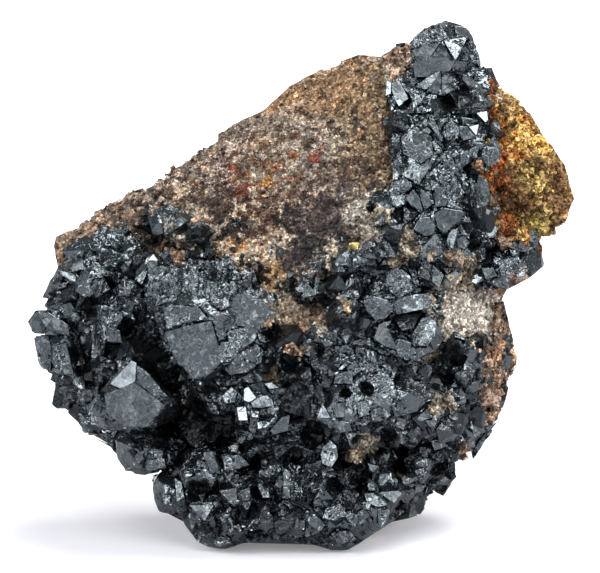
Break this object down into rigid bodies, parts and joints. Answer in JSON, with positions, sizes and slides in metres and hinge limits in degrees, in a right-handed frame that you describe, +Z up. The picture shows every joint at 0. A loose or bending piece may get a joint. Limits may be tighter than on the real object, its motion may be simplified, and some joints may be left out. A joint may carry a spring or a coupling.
{
  "type": "mineral specimen",
  "caption": "Black sphalerite crystals grown over a broken brown host rock, with an iron-stained quartz lobe on one shoulder; stands on its flat broken base",
  "frame": {"origin": "centre of the bounding box's footprint, on the floor plane the base stands on", "axes": "+Z up, +X to the viewer's right when the crystals face the viewer, +Y away from the viewer"},
  "size_m": [0.0783, 0.0478, 0.0712],
  "materials": {
    "rock": "rough broken rock",
    "ochre": "iron-stained drusy quartz",
    "sulphide": "metallic crystal faces",
    "crystal": "bright black crystal faces"
  },
  "bodies": {
    "root": {"host_rock": "rock", "ochre_quartz": "ochre", "brassy_grain_upper": "sulphide", "brassy_grain_lower": "sulphide", "crest_crystals": "crystal", "column_upper_crystals": "crystal", "column_lower_crystals": "crystal", "flank_crystals": "crystal", "ring_left_crystals": "crystal", "ring_crystals": "crystal", "centre_crystals": "crystal", "glitter_crystals": "crystal", "right_centre_crystals": "crystal", "left_upper_crystals": "crystal", "left_edge_crystals": "crystal", "front_left_crystals": "crystal", "back_left_druse": "crystal", "lower_left_crystals": "crystal", "bottom_left_crystals": "crystal", "bottom_centre_crystals": "crystal", "bottom_right_crystals": "crystal", "lower_right_crystals": "crystal", "right_lower_crystals": "crystal", "right_edge_crystals": "crystal", "upper_left_matrix_crystals": "crystal", "middle_matrix_crystals": "crystal", "back_right_crystals": "crystal", "back_left_crystals": "crystal", "back_low_crystals": "crystal"}
  },
  "joints": []
}
